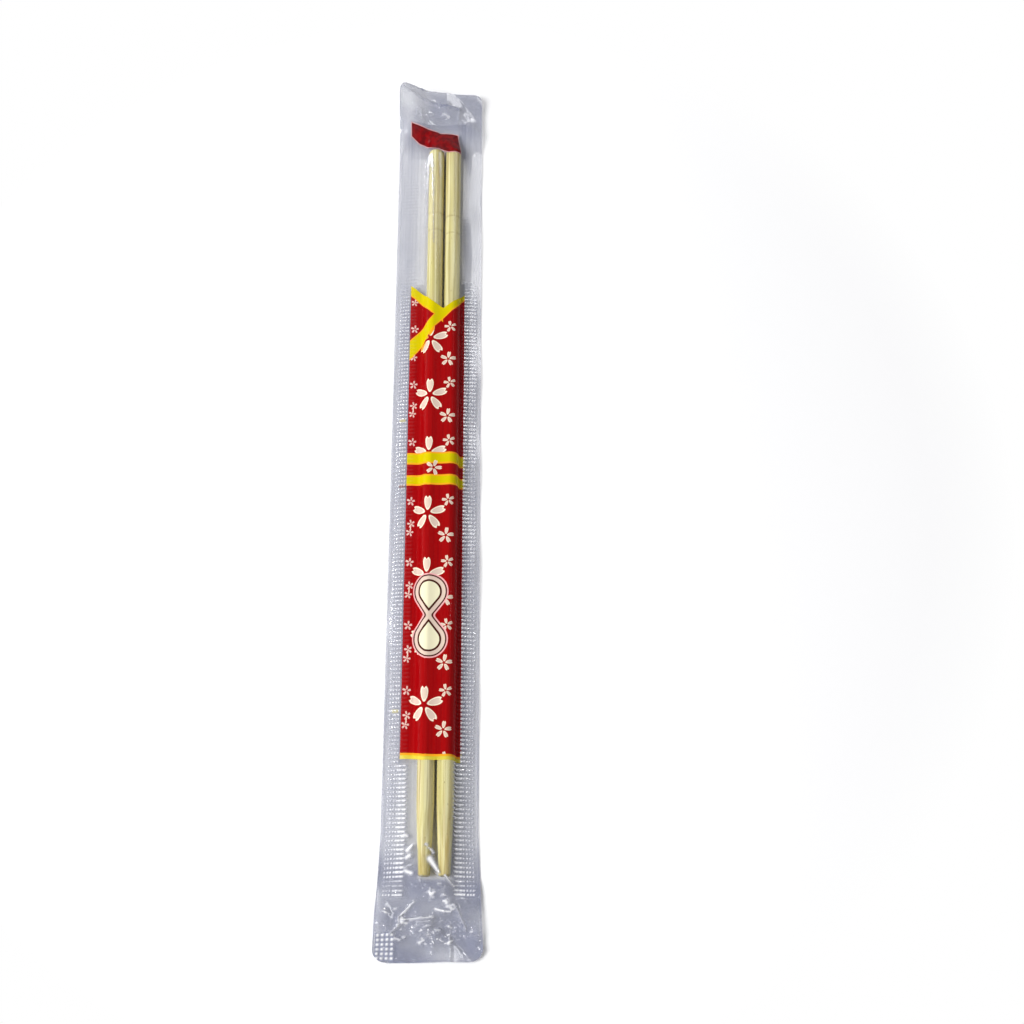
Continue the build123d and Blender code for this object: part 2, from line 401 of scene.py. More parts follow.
# Cane, in layers over a plain colour
Layer = namedtuple("Layer", "grain cover colour")
CANE = linear(209, 198, 127)
PALE_STREAKS = Layer(Grain(1300, 0.014, 3.0, (0.35, 0.65)), 1.0, linear(240, 234, 185))
FIBRES = Layer(Grain(1900, 0.012, 4.0, (0.48, 0.6)), 0.6, linear(160, 142, 74))
PATCHES = Layer(Grain(160, 0.25, 2.0, (0.45, 0.7)), 0.45, linear(208, 202, 128))
BROWN_STREAKS = Layer(Grain(620, 0.035, 2.0, (0.54, 0.7)), 0.4, linear(184, 148, 76))
SPECKS = Layer(Grain(2600, 0.3, 1.0, (0.73, 0.78)), 0.8, linear(110, 84, 44))
CANE_LAYERS = (PALE_STREAKS, FIBRES, PATCHES, BROWN_STREAKS, SPECKS)
GRAIN_PLACES = {"chopstick_left": (0.31, 0.52, 0.17), "chopstick_right": (0.0, 0.0, 0.0)}
RING_COLOUR = linear(150, 128, 66)
RING_COVER = 0.4
TIP_COLOUR = linear(176, 150, 64)
TIP_DARK_LENGTH = 0.011
TIP_COVER = 0.45
TIP_FIBRE_SPAN = (0.35, 0.6)
TIP_FIBRE_SHARES = (0.4, 1.0)
CANE_ROUGH_SPAN = (0.3, 0.7)
CANE_ROUGHNESS = (0.62, 0.48)
FIBRE_BUMP = 0.00002
FIBRE_BUMP_STRENGTH = 0.6

# Clear film: how hazy it is, its gloss and its whitened welds; the same white also paints glints on the dots,
# along the creases and in specks on the crumpled tails, and some of its hazing is painted light and shade
HAZE = linear(116, 122, 150)
WELD_GLINT_WHITE = linear(252, 252, 255)
CLOUDS = Grain(260, 0.3, 3.0, (0.3, 0.7))
CLOUD_COVERS = (0.05, 0.1)
CLOUD_RELIEF_SHARE = 0.03
LINES = Grain(800, 0.01, 2.0, (0.35, 0.65))
LINE_HAZE = 0.04
# Painted glints: small white specks on the crumpled tails
GLINT_FLECK_SIZE = 0.0011
GLINT_FLECKS = Grain(1 / GLINT_FLECK_SIZE, 1.0, 1.0, (0.62, 0.7))
MARGIN_HAZE = 0.145
MARGIN_FADE = 0.011
MARGIN_LEAD = 0.009
LOWER_HAZE = 0.39
LOWER_FADE = 0.0014
UPPER_HAZE = 0.35
UPPER_FADE = 0.018
# Painted light and shade: the tails are made hazier and clearer over facets of their own
FACET_SHADE_SHARE = 0.3
# Painted shade: the corner patch made hazier, so darker, round its dots
PATCH_SHADE = 0.3
DOT_BAND_HAZE = 0.04
BORDER_HAZE = 0.12
BORDER_WIDTH = 0.0004
GAP_CLEARING = 0.06
FILM_ROUGHNESS = (0.09, 0.17)
CLEAR_INDEX = 2.4
PRINTED_INDEX = 1.12
WELD_GLINT_COVER = 0.92
WELD_GLINT_SPREAD = 2.2
CLEAR_WELD_GLINT = 1.0
PRINTED_WELD_GLINT = 0.015


# Shader sums


class Field:
    """A number that varies over a surface, worked out by shader nodes and written as a sum."""

    def __init__(self, tree, socket):
        self.tree = tree
        self.socket = socket

    def math(self, operation, *others, clamp=False):
        node = self.tree.nodes.new("ShaderNodeMath")
        node.operation = operation
        node.use_clamp = clamp
        for place, value in zip(node.inputs, (self, *others)):
            plug(self.tree, place, value)
        return Field(self.tree, node.outputs[0])

    def __add__(self, other):
        return self.math("ADD", other)

    def __sub__(self, other):
        return self.math("SUBTRACT", other)

    def __rsub__(self, other):
        return self.math("MULTIPLY_ADD", -1.0, other)

    def __mul__(self, other):
        return self.math("MULTIPLY", other)

    def __truediv__(self, other):
        return self.math("DIVIDE", other)

    def __abs__(self):
        return self.math("ABSOLUTE")

    __radd__ = __add__
    __rmul__ = __mul__

    def least(self, other):
        return self.math("MINIMUM", other)

    def most(self, other):
        return self.math("MAXIMUM", other)

    def inside(self, blur=PRINT_BLUR):
        """1 where this distance is above zero and 0 where it is below, with a soft edge."""
        return self.math("MULTIPLY_ADD", 1 / blur, 0.5, clamp=True)


def plug(tree, place, value):
    """Gives a node's input a field, a socket or a constant."""
    if isinstance(value, Field):
        tree.links.new(value.socket, place)
    elif isinstance(value, bpy.types.NodeSocket):
        tree.links.new(value, place)
    else:
        place.default_value = value


def length(x, y):
    """The distance of a place from zero."""
    return (x * x + y * y).math("SQRT")


def mixed(tree, share, first, second, kind):
    """A mix of two colours or two numbers."""
    node = tree.nodes.new("ShaderNodeMix")
    node.data_type = kind
    sockets = {"FLOAT": (2, 3, 0), "RGBA": (6, 7, 2)}[kind]
    plug(tree, node.inputs[0], share)
    plug(tree, node.inputs[sockets[0]], first)
    plug(tree, node.inputs[sockets[1]], second)
    return node.outputs[sockets[2]]


def noise(tree, place, scale, detail):
    """Cloudy noise, from 0 to 1, at a place."""
    node = tree.nodes.new("ShaderNodeTexNoise")
    node.inputs["Scale"].default_value = scale
    node.inputs["Detail"].default_value = detail
    tree.links.new(place, node.inputs["Vector"])
    return Field(tree, node.outputs["Fac"])


def per_axis(tree, operation, place, amounts):
    """A place with an amount added to each of its axes, or each scaled by it."""
    node = tree.nodes.new("ShaderNodeVectorMath")
    node.operation = operation
    tree.links.new(place, node.inputs[0])
    node.inputs[1].default_value = amounts
    return node.outputs[0]


def drawn_out(tree, place, grain):
    """A grain's noise at a place."""
    squeezed = per_axis(tree, "MULTIPLY", place, (1.0, grain.squeeze, 1.0))
    return noise(tree, squeezed, grain.scale, grain.detail)


def ranged(field, low, high, new_low, new_high):
    """The field's span from low to high laid on a new span."""
    node = field.tree.nodes.new("ShaderNodeMapRange")
    for place, value in zip(node.inputs, (field, low, high, new_low, new_high)):
        plug(field.tree, place, value)
    return Field(field.tree, node.outputs[0])


def bumped(tree, height, distance, strength=1.0):
    """A surface direction that follows fine relief."""
    node = tree.nodes.new("ShaderNodeBump")
    node.inputs["Strength"].default_value = strength
    node.inputs["Distance"].default_value = distance
    tree.links.new(height.socket, node.inputs["Height"])
    return node.outputs[0]


def new_material(name):
    """An empty material with its principled shader."""
    material = bpy.data.materials.new(name)
    material.use_nodes = True
    tree = material.node_tree
    return material, tree, tree.nodes["Principled BSDF"]


# Waves, meshes and pieces


def folds(x, y, waves):
    """Flat facets with straight creases about this far apart, from about -1 to 1."""
    return ripple(x, y, waves, shape=lambda turn: np.arcsin(np.sin(turn)) * 2 / pi)


def ripple(x, y, waves, stretch=1.0, shape=np.sin):
    """Smooth waves, stretched along y, from about -1 to 1."""
    rng = np.random.default_rng(waves.seed)
    turns = rng.uniform(0, tau, WAVE_COUNT)
    phases = rng.uniform(0, tau, WAVE_COUNT)
    paces = rng.uniform(*WAVE_PACES, WAVE_COUNT)
    total = 0.0
    for turn, phase, pace in zip(turns, phases, paces):
        along = x * cos(turn) + y * sin(turn) / stretch
        total = total + shape(tau * pace / waves.length * along + phase)
    return total / sqrt(WAVE_COUNT)


def eased(y, start, reach):
    """A share that grows from 0 at the start to 1 a reach further on, or further down if that is negative."""
    return np.clip((y - start) / reach, 0, 1)


def smooth_least(a, b, blend):
    """The lesser of two lengths, rounded over where they cross."""
    share = np.clip((blend - np.abs(a - b)) / blend, 0, 1)
    return np.minimum(a, b) - share * share * blend / 4


def grid_mesh(name, points, closed=False):
    """A smooth mesh over a grid of points, rows by columns, closed round its columns if asked."""
    rows, columns = points.shape[:2]
    number = np.arange(rows * columns).reshape(rows, columns)
    if closed:
        number = np.concatenate([number, number[:, :1]], axis=1)
    corners = [number[:-1, :-1], number[:-1, 1:], number[1:, 1:], number[1:, :-1]]
    faces = np.stack(corners, axis=-1).reshape(-1, 4)
    mesh = bpy.data.meshes.new(name)
    mesh.from_pydata(points.reshape(-1, 3).tolist(), [], faces.tolist())
    mesh.polygons.foreach_set("use_smooth", [True] * len(mesh.polygons))
    mesh.update()
    return mesh


def stand_in(name, mesh, node):
    """A piece that stands for a CAD node and rides on the one body."""
    piece = bpy.data.objects.new(name, mesh)
    bpy.context.scene.collection.objects.link(piece)
    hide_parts(node)
    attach(piece, "root")
    return piece


# Sticks


def stick_radius(y):
    """A stick's radius along its length, before its ends are rounded."""
    slope = (STICK_RADIUS - TIP_RADIUS) / TAPER_LENGTH
    return smooth_least(TIP_RADIUS + slope * (y - TIP_Y), np.full_like(y, STICK_RADIUS), TAPER_BLEND)


def ring_places(node):
    """Where a cane node's rings lie on a stick."""
    return [BUTT_Y - NODE_FROM_BUTT[node] - ring * NODE_SPACING for ring in range(NODE_RINGS)]


def stick_profile(rings):
    """Places along a stick, from its tip to its thick end, with the radius there."""
    turn = np.linspace(0, pi / 2, ROUND_STEPS)
    steps = int((BUTT_Y - TIP_Y) / STICK_STEP)
    shank_y = np.linspace(TIP_Y + TIP_ROUND, BUTT_Y - BUTT_ROUND, steps)
    shank = stick_radius(shank_y)
    for ring_y in rings:
        shank = shank - NODE_GROOVE_DEPTH * np.exp(-(((shank_y - ring_y) / (NODE_GROOVE_WIDTH / 2)) ** 2))
    tip_core = TIP_RADIUS - TIP_ROUND
    butt_core = STICK_RADIUS - BUTT_ROUND
    tip_y = TIP_Y + TIP_ROUND * (1 - np.cos(turn))
    butt_y = BUTT_Y - BUTT_ROUND * (1 - np.sin(turn))
    ends = np.array(END_RING_SHARES)
    y = np.concatenate([np.full(len(ends), TIP_Y), tip_y, shank_y[1:-1], butt_y, np.full(len(ends), BUTT_Y)])
    radius = np.concatenate([
        ends * tip_core,
        tip_core + TIP_ROUND * np.sin(turn),
        shank[1:-1],
        butt_core + BUTT_ROUND * np.cos(turn),
        ends[::-1] * butt_core,
    ])
    return y, radius


def cane(name, node):
    """Pale, greenish-yellow cane: fine lengthwise fibres, darker streaks, specks and a node's dark rings."""
    material, tree, shader = new_material(name)
    whole = tree.nodes.new("ShaderNodeTexCoord").outputs["Object"]
    spot = per_axis(tree, "ADD", whole, GRAIN_PLACES[node])
    fields = {layer: drawn_out(tree, spot, layer.grain) for layer in CANE_LAYERS}
    colour = CANE
    for layer, field in fields.items():
        share = ranged(field, *layer.grain.span, 0.0, layer.cover)
        colour = mixed(tree, share, colour, layer.colour, "RGBA")
    parts = tree.nodes.new("ShaderNodeSeparateXYZ")
    tree.links.new(whole, parts.inputs[0])
    y = Field(tree, parts.outputs["Y"])
    for ring_y in ring_places(node):
        near = ranged(abs(y - ring_y), 0.0, NODE_GROOVE_WIDTH / 2, RING_COVER, 0.0)
        colour = mixed(tree, near, colour, RING_COLOUR, "RGBA")
    # Darker and browner towards the tips
    tip = ranged(y, TIP_Y, TIP_Y + TIP_DARK_LENGTH, TIP_COVER, 0.0)
    tip = tip * ranged(fields[FIBRES], *TIP_FIBRE_SPAN, *TIP_FIBRE_SHARES)
    colour = mixed(tree, tip, colour, TIP_COLOUR, "RGBA")
    rough = ranged(fields[PALE_STREAKS], *CANE_ROUGH_SPAN, *CANE_ROUGHNESS)
    plug(tree, shader.inputs["Base Color"], colour)
    plug(tree, shader.inputs["Roughness"], rough)
    plug(tree, shader.inputs["Normal"], bumped(tree, fields[FIBRES], FIBRE_BUMP, FIBRE_BUMP_STRENGTH))
    return material


def chopstick(node, axis_x):
    """One stick, turned from cane: its fibres stand out a little and it isn't quite even."""
    y, radius = stick_profile(ring_places(node))
    angle = np.linspace(0, tau, STICK_SIDES, endpoint=False)[None, :]
    y, radius = y[:, None], radius[:, None]
    around_x, around_z = STICK_RADIUS * np.sin(angle), STICK_RADIUS * np.cos(angle)
    seed = STICK_SEEDS[node]
    fibre = ripple(around_x, around_z + y / FIBRE_STRETCH, Waves(FIBRE_WIDTH, seed))
    uneven = ripple(around_x + y, around_z - y, Waves(UNEVEN_LENGTH, seed + 1))
    whole = radius / STICK_RADIUS
    radius = radius + whole * (FIBRE_DEPTH * fibre + UNEVENNESS * (uneven - 1))
    x = axis_x + radius * np.sin(angle)
    z = AXIS_Z + radius * np.cos(angle)
    mesh = grid_mesh(node, np.stack([x, np.broadcast_to(y, x.shape), z], axis=-1), closed=True)
    mesh.materials.append(cane(f"cane_{node}", node))
    return stand_in(f"{node}_turned", mesh, node)


# Print


def film_vector(tree):
    """A place on the flat film."""
    node = tree.nodes.new("ShaderNodeUVMap")
    node.uv_map = "film"
    return node.outputs[0]


def film_place(tree):
    """The print's coordinates: across and down the flat film."""
    parts = tree.nodes.new("ShaderNodeSeparateXYZ")
    tree.links.new(film_vector(tree), parts.inputs[0])
    return Field(tree, parts.outputs["X"]), Field(tree, parts.outputs["Y"])


def polyline(across, points):
    """A line's height over the film's width, straight from point to point."""
    total = None
    for (start, low), (end, high) in zip(points, points[1:]):
        part = ranged(across, start, end, 0.0, high - low)
        total = part + points[0][1] if total is None else total + part
    return total


def within(field, low, high):
    """How far inside a span a place is."""
    return (field - low).least(high - field)


def box_mask(across, down, left, right, top, bottom):
    """1 inside an upright box."""
    return within(across, left, right).least(within(down, top, bottom)).inside()


def petals(across, down, radius, turn=0.0):
    """How far inside a blossom's five notched petals a place is, as a share of its radius."""
    x = across / radius
    y = down / radius
    fifth = tau / PETALS
    angle = x.math("ARCTAN2", y * -1.0) + turn
    local = angle - (angle / fifth).math("ROUND") * fifth
    reach = length(x, y)
    out = reach * local.math("COSINE")
    side = abs(reach * local.math("SINE"))
    half = (1 - PETAL_INNER_SHARE) / 2
    narrow = out * -PETAL_NARROWING_SHARES[1] + PETAL_NARROWING_SHARES[0]
    leaf = 1.0 - length((out - (1 - half)) / half, side * narrow / PETAL_HALF_WIDTH_SHARE)
    notch = side * PETAL_NOTCH_SLOPE + (1 - PETAL_NOTCH_SHARE) - out
    return (leaf * PETAL_HALF_WIDTH_SHARE).least(notch)


class Ink:
    """Ink laid on clear film: the colour and the cover so far."""

    def __init__(self, tree, cover):
        self.tree = tree
        self.colour = HAZE
        self.cover = cover

    def lay(self, mask, colour, cover=INK_COVER):
        self.colour = mixed(self.tree, mask, self.colour, colour, "RGBA")
        self.cover = mixed(self.tree, mask, self.cover, cover, "FLOAT")


def lay_blossom(ink, edge, radius, field):
    """A blossom on the red field: a rim of cream, or of pink if it is small, round thinner, paler petals."""
    blur = PRINT_BLUR / radius
    ink.lay(edge.inside(blur) * field, PINK if radius < PINK_RADIUS else CREAM)
    ink.lay((edge - PETAL_RIM_SHARE).inside(blur) * field, PETAL, PETAL_COVER)


def lay_turned_blossom(ink, across, down, one, field):
    """A blossom at its own place, turned a little."""
    edge = petals(across - one.across, down - one.down, one.radius, one.turn)
    lay_blossom(ink, edge, one.radius, field)


def lay_pattern(ink, across, down, field):
    """The blossoms, repeated down the film."""
    half = PATTERN_PITCH / 2
    offset = (down - (PATTERN_START - half)).math("FLOORED_MODULO", PATTERN_PITCH) - half
    sideways = across - PATTERN_ACROSS
    big = petals(sideways, offset, BIG_RADIUS)
    lay_blossom(ink, big, BIG_RADIUS, field)
    top, bottom = STEM_ENDS
    stem_across = ranged(offset, top.down, bottom.down, top.across, bottom.across)
    stem = STEM_WIDTH / 2 - abs(sideways - stem_across)
    ink.lay(stem.least(within(offset, top.down, bottom.down)).inside() * field, CREAM)
    for one in COMPANIONS:
        lay_turned_blossom(ink, sideways, offset, one, field)
    return big


def drop(x, y):
    """How far inside a drop a place is; its round end is at zero and its point lies along y."""
    slant = DROP_RADIUS / DROP_POINT
    lean = sqrt(1 - slant * slant)
    side = abs(x)
    cone = DROP_RADIUS - (side * lean + y * slant)
    ball = DROP_RADIUS - length(x, y)
    pointed = (y * lean - side * slant).math("GREATER_THAN", 0.0)
    return Field(x.tree, mixed(x.tree, pointed, ball, cone, "FLOAT"))


def lay_cartouche(ink, across, down):
    """A panel round two bare drops that point at each other, with an outline that follows both."""
    x = across - CARTOUCHE_ACROSS
    y = down - CARTOUCHE_MIDDLE
    drops = [drop(x, y * way + DROP_OFFSET) for way in (1.0, -1.0)]
    edge = drops[0].math("SMOOTH_MAX", drops[1], CARTOUCHE_BLEND) + CARTOUCHE_MARGIN
    line_start, line_end = CARTOUCHE_LINES
    ink.lay(edge.inside(), PINK)
    ink.lay((edge - line_start).inside(), BROWN)
    ink.lay((edge - line_end).inside(), PETAL, PETAL_COVER)
    for shape in drops:
        ink.lay(shape.inside(), BROWN)
        ink.lay((shape - DROP_LINE).inside(), PALE)


def lay_field(ink, across, down, field, hem):
    """The red field, faintly streaked along the film, with its blossoms and its hem."""
    ink.lay(field, RED)
    streaks = drawn_out(ink.tree, film_vector(ink.tree), RED_STREAKS)
    ink.lay(field * ranged(streaks, *RED_STREAKS.span, 0.0, RED_STREAK_SHARE), STREAK_RED)
    big = lay_pattern(ink, across, down, field)
    hem_line = down - (hem - HEM_LINE)
    ink.lay(hem_line.inside() * field, HEM_ORANGE)
    ink.lay((hem_line - HEM_RIM).inside() * field, HEM_YELLOW, HEM_COVER)
    return big


def lay_yellow(ink, edge, field):
    """A yellow stretch of the robe with an orange rim."""
    ink.lay(edge.inside() * field, HEM_ORANGE)
    ink.lay((edge - YELLOW_RIM).inside() * field, YELLOW)


def lay_strip(ink, across, down):
    """The crooked red strip over the thick ends, bare, with a pale rim and blotches."""
    strip = (down - polyline(across, STRIP_TOP)).least(polyline(across, STRIP_LOW) - down)
    strip = strip.least(within(across, STRIP_LEFT, STRIP_RIGHT))
    blotches = drawn_out(ink.tree, film_vector(ink.tree), STRIP_BLOTCHES)
    blotches = ranged(blotches, *STRIP_BLOTCHES.span, *STRIP_BLOTCH_SHARES)
    ink.lay((strip + STRIP_RIM).inside(), PINK, PETAL_COVER)
    ink.lay(strip.inside(), DEEP_RED)
    ink.lay((strip - STRIP_SHADE).inside(STRIP_SHADE_BLUR) * blotches, STREAK_RED)


def lay_front(ink, across, down):
    """The front web's print: a red field like a robe, with a crossed collar and a sash."""
    lay_strip(ink, across, down)
    down = down + polyline(across, PRINT_RIDE)
    field = (down - polyline(across, COLLAR_TOP)).least(FIELD_HEM - down)
    field = field.least(within(across, FIELD_LEFT, FIELD_RIGHT)).inside()
    big = lay_field(ink, across, down, field, FIELD_HEM)
    lapel_low = polyline(across, RIGHT_LAPEL_LOW)
    beside_lapel = (lapel_low + LAPEL_BLEED - down).inside() * big.inside(PRINT_BLUR / BIG_RADIUS)
    ink.lay(beside_lapel * field, HEM_ORANGE)
    right_lapel = (down - polyline(across, RIGHT_LAPEL_TOP)).least(lapel_low - down)
    left_lapel = (polyline(across, LEFT_LAPEL_LOW) - down).least(LEFT_LAPEL_END - across)
    lay_yellow(ink, right_lapel.most(left_lapel), field)
    ink.lay(within(down, WAIST_BANDS[0][0], WAIST_BANDS[1][1]).inside() * field, RED)
    for top, bottom in WAIST_BANDS:
        lay_yellow(ink, within(down, top, bottom), field)
    lay_turned_blossom(ink, across, down, WAIST_BLOSSOM, field)
    lay_cartouche(ink, across, down)


def lay_marks(ink, across, down):
    """The small register marks on the clear left seal."""
    ink.lay(box_mask(across, down, *TICK), DEEP_RED)
    for mark in PALE_MARKS:
        ink.lay(box_mask(across, down, *mark), YELLOW, MARK_COVER)


def lay_nothing(ink, across, down):
    """Clear film without print."""


def lay_back(ink, across, down):
    """The back web's print: the same robe from behind, with a plain sash."""
    hem = FIELD_HEM - BACK_FIELD_INSET
    sides = within(across, FIELD_LEFT + BACK_FIELD_INSET, FIELD_RIGHT - BACK_FIELD_INSET)
    field = within(down, BACK_FIELD_TOP, hem).least(sides).inside()
    lay_field(ink, across, down, field, hem)
    ink.lay(within(down, WAIST_BANDS[0][0], WAIST_BANDS[1][1]).inside() * field, YELLOW)


def attribute(tree, name):
    """A number kept with the mesh's points."""
    node = tree.nodes.new("ShaderNodeAttribute")
    node.attribute_name = name
    return Field(tree, node.outputs["Fac"])


def film(name, lay_print, index, weld_glint_share):
    """Thin, glossy film: hazy where it is clear, whitened at the dots that join its webs, with painted glints
    on those dots, along the creases and in small white spots on the crumpled tails, and coloured under its
    ink.
    """
    material, tree, shader = new_material(name)
    spot = tree.nodes.new("ShaderNodeTexCoord").outputs["Object"]
    crumple = attribute(tree, "crumple")
    clouds = drawn_out(tree, spot, CLOUDS)
    lines = ranged(drawn_out(tree, spot, LINES), *LINES.span, -LINE_HAZE, LINE_HAZE)
    clear = ranged(clouds, *CLOUDS.span, *CLOUD_COVERS)
    ink = Ink(tree, clear + attribute(tree, "haze_and_shade") + attribute(tree, "margin") * lines)
    lay_print(ink, *film_place(tree))
    # Painted glints as small white specks where the tails are crumpled
    glint_flecks = ranged(drawn_out(tree, spot, GLINT_FLECKS), *GLINT_FLECKS.span, 0.0, 1.0) * crumple
    # White laid where the dots are whitened, which also paints their glints, and the painted glints along the
    # creases and in the specks
    ink.lay(attribute(tree, "weld_glint").most(glint_flecks) * weld_glint_share, WELD_GLINT_WHITE, WELD_GLINT_COVER)
    cells = tree.nodes.new("ShaderNodeTexVoronoi")
    cells.inputs["Scale"].default_value = 1 / CRUMPLE_SIZE
    tree.links.new(spot, cells.inputs["Vector"])
    relief = clouds * CLOUD_RELIEF_SHARE + Field(tree, cells.outputs["Distance"]) * crumple
    plug(tree, shader.inputs["Base Color"], ink.colour)
    plug(tree, shader.inputs["Alpha"], ink.cover)
    plug(tree, shader.inputs["Roughness"], ranged(clouds, *CLOUDS.span, *FILM_ROUGHNESS))
    plug(tree, shader.inputs["Normal"], bumped(tree, relief, CRUMPLE_DEPTH))
    shader.inputs["IOR"].default_value = index
    return material


# Film sleeve


def drawn_share(y):
    """1 where the film is drawn round the sticks, falling to 0 where it lies flat past their ends."""
    past_tip = np.clip((TIP_Y - y) / LOWER_CLOSE, 0, 1)
    past_butt = np.clip((y - BUTT_Y) / UPPER_CLOSE, 0, 1)
    return ((1 - past_tip) * (1 - past_butt)) ** CLOSE_POWER


def lift(x, y):
    """How far the curl past the thick ends holds the film above the surface."""
    along = np.clip(y - BUTT_Y, 0, None) / UPPER_TAIL
    from_right = (EDGE_X - x) / (2 * EDGE_X)
    return along**2 * (LIFT_RIGHT + from_right**2 * (LIFT_LEFT - LIFT_RIGHT))


def tangent(foot_x, foot_z, axis_x, reach, way):
    """The slope and length of a web's straight run from its foot to a stick."""
    across = abs(axis_x - foot_x)
    up = (AXIS_Z - foot_z) * way
    slope = np.arctan2(up, across) + np.arcsin(reach / np.hypot(across, up))
    return slope, np.sqrt(across**2 + up**2 - reach**2)


def draped(x, y):
    """The front web's height left of the sticks: it lies level and then climbs steeply round the stick."""
    reach = stick_radius(np.maximum(y, TIP_Y)) + FILM_REACH
    foot_z = SEAL_RISE + SEALED_GAP
    near_x = LEFT_FOOT_X + DRAPE_FLAT
    slope, run = tangent(near_x, foot_z, LEFT_AXIS_X, reach, OVER)
    climb = -smooth_least(np.full_like(x, -foot_z), -foot_z - (x - near_x) * np.tan(slope), DRAPE_BLEND)
    bend = AXIS_Z + np.sqrt(np.clip(reach**2 - (x - LEFT_AXIS_X) ** 2, 0, None))
    return np.where(x > near_x + run * np.cos(slope), bend, climb)


def drawn_web(y, way):
    """Where a web drawn over the sticks or under them lies, across and in height."""
    radius = stick_radius(np.maximum(y, TIP_Y)) if way == OVER else np.full_like(y, STICK_RADIUS)
    reach = radius + FILM_REACH
    foot_z = SEAL_RISE + max(way, 0) * SEALED_GAP
    left_slope, left_run = tangent(LEFT_FOOT_X, foot_z, LEFT_AXIS_X, reach, way)
    right_slope, right_run = tangent(RIGHT_FOOT_X, foot_z, RIGHT_AXIS_X, reach, way)
    seal = np.linspace(0, 1, SEAL_COLUMNS + 1)[None, :]
    run = np.linspace(0, 1, RUN_COLUMNS + 1)[None, 1:]
    short_run = np.linspace(0, 1, SHORT_RUN_COLUMNS + 1)[None, 1:]
    bend = np.linspace(0, 1, BEND_COLUMNS + 1)[None, 1:]
    bridge = np.linspace(0, 1, BRIDGE_COLUMNS + 1)[None, 1:]
    flat = np.ones_like(y)
    left_turn = left_slope * (1 - bend)
    right_turn = right_slope * bend
    right_meet_x = RIGHT_AXIS_X + reach * np.sin(right_slope)
    right_meet_z = AXIS_Z + way * reach * np.cos(right_slope)
    x = np.concatenate([
        flat * (-EDGE_X + seal * SEAL_WIDTH),
        LEFT_FOOT_X + run * left_run * np.cos(left_slope),
        LEFT_AXIS_X - reach * np.sin(left_turn),
        flat * (LEFT_AXIS_X + bridge * (RIGHT_AXIS_X - LEFT_AXIS_X)),
        RIGHT_AXIS_X + reach * np.sin(right_turn),
        right_meet_x + short_run * right_run * np.cos(right_slope),
        flat * (RIGHT_FOOT_X + seal[:, 1:] * SEAL_WIDTH),
    ], axis=1)
    z = np.concatenate([
        flat * seal * foot_z,
        foot_z + way * run * left_run * np.sin(left_slope),
        AXIS_Z + way * reach * np.cos(left_turn),
        AXIS_Z + way * (reach - BRIDGE_SAG * np.sin(pi * bridge)),
        AXIS_Z + way * reach * np.cos(right_turn),
        right_meet_z - way * short_run * right_run * np.sin(right_slope),
        flat * (1 - seal[:, 1:]) * foot_z,
    ], axis=1)
    return x, z


def raised(distance, radius):
    """A dot's rise, from 1 at its middle to 0 at its radius."""
    return np.cos(np.clip(distance / radius, -1, 1) * pi / 2) ** 2


def in_rows(y, pitch):
    """The distance of a place from the nearest of a set of even rows."""
    return np.mod(y, pitch) - pitch / 2


def dot_grid(x, y, pitch, radius):
    """Round dots on a square grid."""
    return raised(in_rows(x, pitch), radius) * raised(in_rows(y, pitch), radius)


def dot_strength(x, y):
    """How strongly the side dots are pressed: faint near the thick ends, worn near the tips, and uneven."""
    faint = FAINT_DOTS_SHARE + (1 - FAINT_DOTS_SHARE) * eased(y, DOTS_TO_Y, -DOTS_FADE)
    ends = eased(y, DOTS_FROM_Y, DOTS_END_FADE) * eased(y, BUTT_Y, -DOTS_FADE)
    uneven = 1 + DOT_UNEVEN_SHARE * (ripple(x, y, DOT_WAVES) - 1)
    worn = np.where((y > WORN_DOTS[0]) & (y < WORN_DOTS[1]), WORN_DOTS_SHARE, 1.0)
    return worn * faint * ends * uneven


def side_dots(x, y):
    """The dots down both sides, in columns; each has a strength and a place that differ a little."""
    from_edge = EDGE_X - np.abs(x)
    row = np.floor((y - LOWER_END_Y) / DOT_PITCH).astype(int)
    rng = np.random.default_rng(DOT_SEED)
    dots = 0.0
    for column in DOT_COLUMNS:
        share = column.share * rng.uniform(DOT_LEAST_SHARE, 1, row.max() + 1)[row]
        shift = rng.uniform(-DOT_SHIFT, DOT_SHIFT, row.max() + 1)[row]
        dots = np.maximum(dots, share * raised(from_edge - column.from_edge - shift, column.half_width))
    return dots * raised(in_rows(y - LOWER_END_Y, DOT_PITCH), DOT_RADIUS)


def end_dots(x, y):
    """The faint rows of dots across the tips' end."""
    half = END_SEAL_ROWS * DOT_PITCH / 2
    rows = np.abs(y - END_SEAL_Y + half) < half
    return rows * dot_grid(x, y - END_SEAL_Y, DOT_PITCH, DOT_RADIUS)


def corner_dots(x, y):
    """The patch in the lower left corner, and its coarse dots."""
    across = x + EDGE_X - CORNER_DOT_PITCH / 2
    up = y - LOWER_END_Y - CORNER_DOT_PITCH / 2
    wide = (across > 0) & (across < CORNER_DOT_COLUMNS * CORNER_DOT_PITCH)
    high = (up > 0) & (up < CORNER_DOT_ROWS * CORNER_DOT_PITCH)
    return wide & high, dot_grid(across, up, CORNER_DOT_PITCH, CORNER_DOT_RADIUS)


